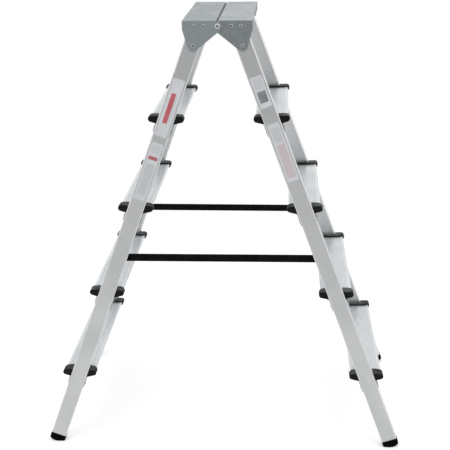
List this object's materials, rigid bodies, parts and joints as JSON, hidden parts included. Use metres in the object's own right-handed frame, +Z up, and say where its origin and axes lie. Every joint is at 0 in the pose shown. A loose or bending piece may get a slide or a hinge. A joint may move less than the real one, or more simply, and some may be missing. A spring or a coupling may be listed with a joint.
{
  "type": "double-sided step ladder",
  "caption": "Folding A-frame step ladder: ribbed aluminium treads on both sides, a split steel platform on top, black end caps and feet, and webbing straps that limit the spread.",
  "frame": {"origin": "on the floor, midway between the four feet", "axes": "+X across the two sections, +Y along the treads, +Z up"},
  "size_m": [0.9332, 0.5052, 1.11],
  "materials": {
    "stile_aluminium": "mill-finish extruded tube, satin",
    "tread_aluminium": "bright ribbed extrusion",
    "galvanised_sheet": "galvanised sheet, faint mottle",
    "bracket_steel": "zinc-plated pressing",
    "rivet_metal": "satin blind rivet",
    "pivot_steel": "zinc-plated rivet with a hollow head",
    "cap_plastic": "matt black moulded plastic",
    "foot_rubber": "matt black rubber",
    "strap_webbing": "woven black webbing",
    "sticker_film": "thin pale film, blank"
  },
  "bodies": {
    "left_frame": {"left_stile_near": "stile_aluminium", "left_foot_near": "foot_rubber", "left_cap_near_1": "cap_plastic", "left_cap_near_2": "cap_plastic", "left_cap_near_3": "cap_plastic", "left_cap_near_4": "cap_plastic", "left_stile_far": "stile_aluminium", "left_foot_far": "foot_rubber", "left_cap_far_1": "cap_plastic", "left_cap_far_2": "cap_plastic", "left_cap_far_3": "cap_plastic", "left_cap_far_4": "cap_plastic", "left_tread_1": "tread_aluminium", "left_brackets_1": "bracket_steel", "left_tread_2": "tread_aluminium", "left_brackets_2": "bracket_steel", "left_tread_3": "tread_aluminium", "left_brackets_3": "bracket_steel", "left_tread_4": "tread_aluminium", "left_brackets_4": "bracket_steel", "left_platform": "galvanised_sheet", "left_strap_plates": "bracket_steel", "left_labels": "sticker_film", "left_bracket_rivets": "rivet_metal", "left_platform_rivets": "rivet_metal", "left_strap_rivets": "rivet_metal", "pivot_rivet_near": "pivot_steel", "strap_near": "strap_webbing", "pivot_rivet_far": "pivot_steel", "strap_far": "strap_webbing"},
    "right_frame": {"right_stile_near": "stile_aluminium", "right_foot_near": "foot_rubber", "right_cap_near_1": "cap_plastic", "right_cap_near_2": "cap_plastic", "right_cap_near_3": "cap_plastic", "right_cap_near_4": "cap_plastic", "right_stile_far": "stile_aluminium", "right_foot_far": "foot_rubber", "right_cap_far_1": "cap_plastic", "right_cap_far_2": "cap_plastic", "right_cap_far_3": "cap_plastic", "right_cap_far_4": "cap_plastic", "right_tread_1": "tread_aluminium", "right_brackets_1": "bracket_steel", "right_tread_2": "tread_aluminium", "right_brackets_2": "bracket_steel", "right_tread_3": "tread_aluminium", "right_brackets_3": "bracket_steel", "right_tread_4": "tread_aluminium", "right_brackets_4": "bracket_steel", "right_platform": "galvanised_sheet", "right_strap_plates": "bracket_steel", "right_labels": "sticker_film", "right_bracket_rivets": "rivet_metal", "right_platform_rivets": "rivet_metal", "right_strap_rivets": "rivet_metal"}
  },
  "joints": [
    {"name": "frame_fold", "type": "hinge", "parent": "left_frame", "child": "right_frame", "pos_m": [0, 0, 1.0973], "axis": [0, 1, 0], "range_deg": [0, 40.4], "deforming": ["strap_near", "strap_far"]}
  ]
}
